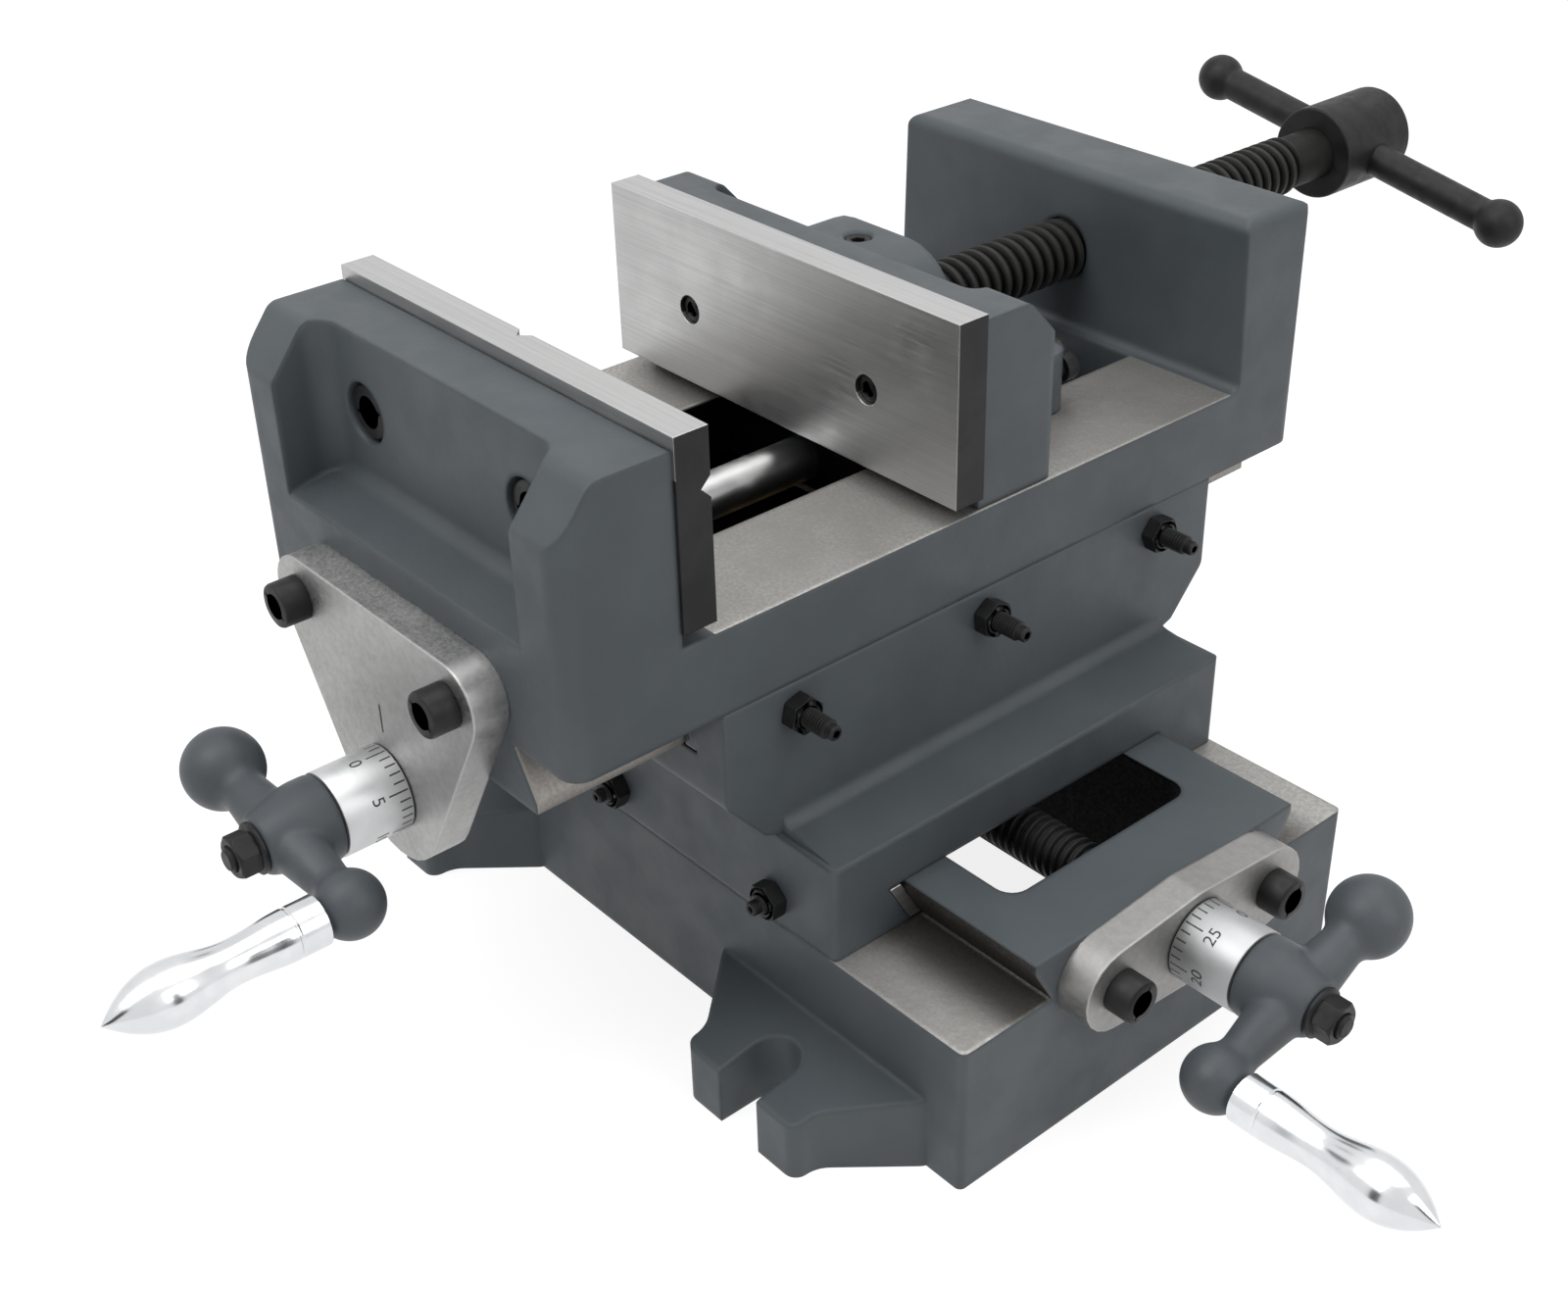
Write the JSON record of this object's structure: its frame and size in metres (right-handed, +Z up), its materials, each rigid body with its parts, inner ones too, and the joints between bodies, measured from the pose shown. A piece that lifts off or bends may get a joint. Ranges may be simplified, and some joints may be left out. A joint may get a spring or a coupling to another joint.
{
  "type": "cross slide vise",
  "caption": "Machine vise with flat jaw plates on two crossed dovetail slides, moved by graduated lead screws with ball cranks and clamped by a screw with a sliding bar.",
  "frame": {"origin": "centre of the four hold-down slots, in the plane of the base's underside", "axes": "+Z up, +X along the jaws and the lower slide toward its crank, +Y along the clamping travel toward the clamp screw's handle"},
  "size_m": [0.4067, 0.5295, 0.2116],
  "materials": {
    "paint": "blue-grey satin paint on cast iron",
    "ground_steel": "ground",
    "polished_steel": "polished",
    "black_oxide": "black oxide",
    "chrome": "mirror chrome",
    "satin_silver": "satin",
    "bronze": "as cast and bored"
  },
  "bodies": {
    "base": {"base": "paint", "x_end_plate": "ground_steel", "x_end_screws": "black_oxide"},
    "x_drive": {"x_screw": "black_oxide", "x_dial": "satin_silver", "x_crank": "paint", "x_crank_nut": "black_oxide", "x_grip_pivot": "ground_steel"},
    "x_grip": {"x_grip": "chrome"},
    "saddle": {"saddle": "paint", "x_gib": "ground_steel", "x_gib_screws": "black_oxide", "x_gib_nuts": "black_oxide", "y_gib": "ground_steel", "y_gib_screws": "black_oxide", "y_gib_nuts": "black_oxide", "x_nut": "bronze", "x_nut_screws": "black_oxide", "y_nut": "bronze", "y_nut_screws": "black_oxide"},
    "vise_body": {"vise_body": "paint", "fixed_jaw_plate": "ground_steel", "fixed_jaw_screws": "black_oxide", "guide_rod": "polished_steel", "y_end_plate": "ground_steel", "y_end_screws": "black_oxide"},
    "y_drive": {"y_screw": "black_oxide", "y_dial": "satin_silver", "y_crank": "paint", "y_crank_nut": "black_oxide", "y_grip_pivot": "ground_steel"},
    "y_grip": {"y_grip": "chrome"},
    "movable_jaw": {"movable_jaw": "paint", "movable_jaw_plate": "ground_steel", "movable_jaw_screws": "black_oxide", "keeper_plate": "ground_steel", "keeper_screws": "black_oxide", "foot_screws": "black_oxide", "retaining_screw": "black_oxide"},
    "clamp_screw": {"clamp_screw": "black_oxide", "clamp_head": "black_oxide"},
    "t_bar": {"t_bar": "black_oxide", "t_bar_balls": "black_oxide"}
  },
  "joints": [
    {"name": "x_slide", "type": "slide", "parent": "base", "child": "saddle", "axis": [1, 0, 0], "range_m": [-0.049, 0.049]},
    {"name": "y_slide", "type": "slide", "parent": "saddle", "child": "vise_body", "axis": [0, 1, 0], "range_m": [-0.047, 0.047]},
    {"name": "jaw_slide", "type": "slide", "parent": "vise_body", "child": "movable_jaw", "axis": [0, 1, 0], "range_m": [-0.0835, 0.04]},
    {"name": "x_spin", "type": "hinge", "parent": "base", "child": "x_drive", "pos_m": [0.147, 0, 0.051], "axis": [1, 0, 0], "range_deg": [-5885, 5885]},
    {"name": "y_spin", "type": "hinge", "parent": "vise_body", "child": "y_drive", "pos_m": [0, -0.1445, 0.095], "axis": [0, 1, 0], "range_deg": [-5645, 5645]},
    {"name": "clamp_spin", "type": "hinge", "parent": "movable_jaw", "child": "clamp_screw", "pos_m": [0, 0.0283, 0.1785], "axis": [0, 1, 0], "range_deg": [-6401, 3069]},
    {"name": "bar_slide", "type": "slide", "parent": "clamp_screw", "child": "t_bar", "axis": [0.9816, 0, -0.1908], "range_m": [-0.0418, 0.0322]},
    {"name": "x_grip_spin", "type": "hinge", "parent": "x_drive", "child": "x_grip", "pos_m": [0.1909, -0.03091, 0.04096], "axis": [1, 0, 0], "continuous": true},
    {"name": "y_grip_spin", "type": "hinge", "parent": "y_drive", "child": "y_grip", "pos_m": [0.03218, -0.1884, 0.09048], "axis": [0, 1, 0], "continuous": true}
  ],
  "couplings": [
    {"joint": "x_spin", "follows": "x_slide", "rad_per_m": -2094.4},
    {"joint": "y_spin", "follows": "y_slide", "rad_per_m": 2094.4},
    {"joint": "clamp_spin", "follows": "jaw_slide", "rad_per_m": 1336.8}
  ]
}
